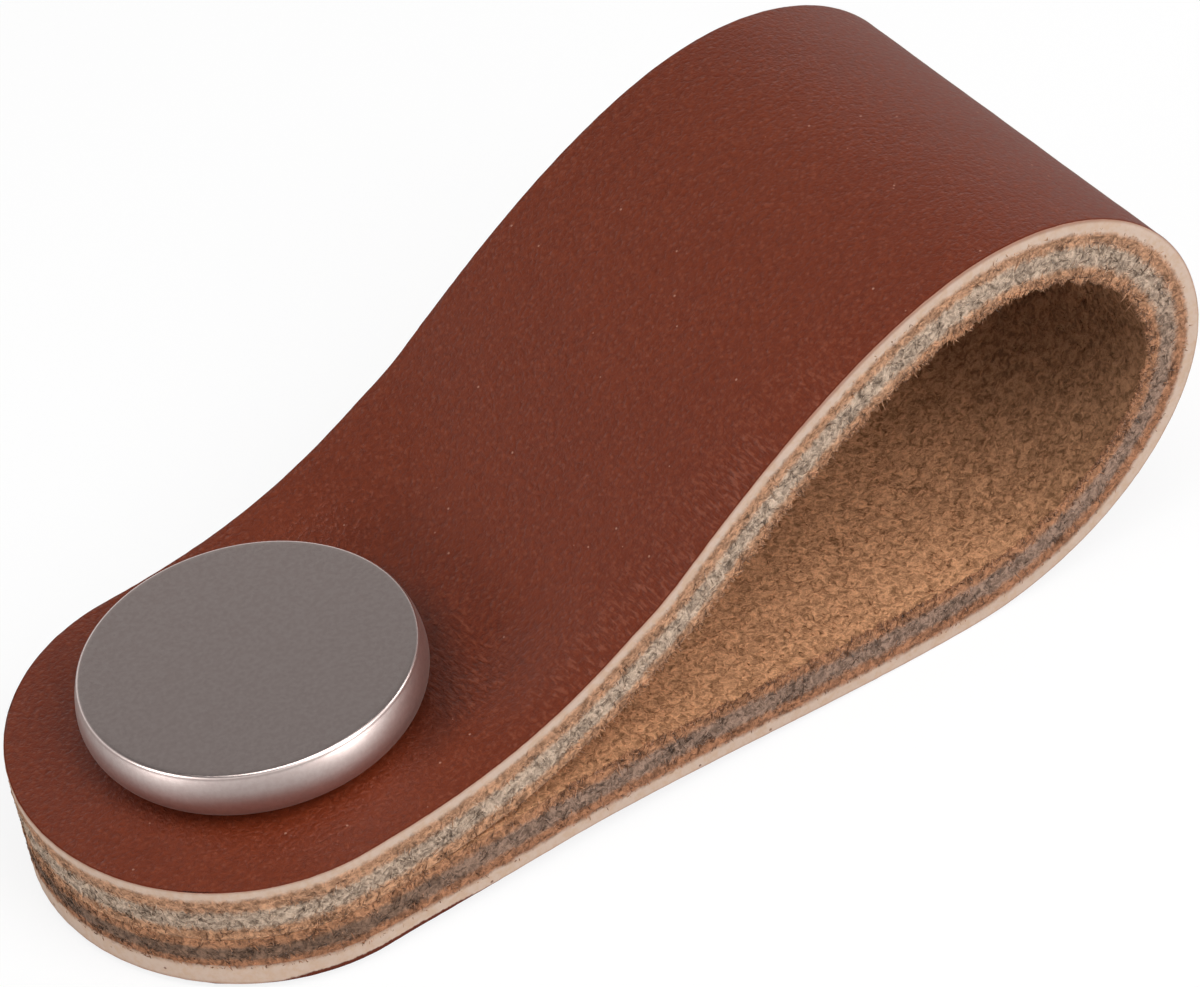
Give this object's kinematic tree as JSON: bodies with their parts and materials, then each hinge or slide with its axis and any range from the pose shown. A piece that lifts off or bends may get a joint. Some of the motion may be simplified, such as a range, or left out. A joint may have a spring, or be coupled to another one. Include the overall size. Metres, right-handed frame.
{
  "type": "leather cabinet knob",
  "caption": "Leather loop pull for a cabinet door or drawer: a folded strap clamped under a round metal cap, screwed on from behind.",
  "frame": {"origin": "where the fixing screw's axis meets the flat back face of the strap", "axes": "+X along the strap from the screw to the loop, +Y across the strap, +Z away from the furniture"},
  "size_m": [0.0655, 0.026, 0.0229],
  "materials": {
    "grain_leather": "satin brown pebble grain with pale cut edges",
    "suede": "brown nap on both faces, grey fibrous core at the cut edges",
    "cap_metal": "satin turned warm grey"
  },
  "bodies": {
    "root": {"outer_leather": "grain_leather", "suede_lining": "suede", "cap": "cap_metal"}
  },
  "joints": []
}
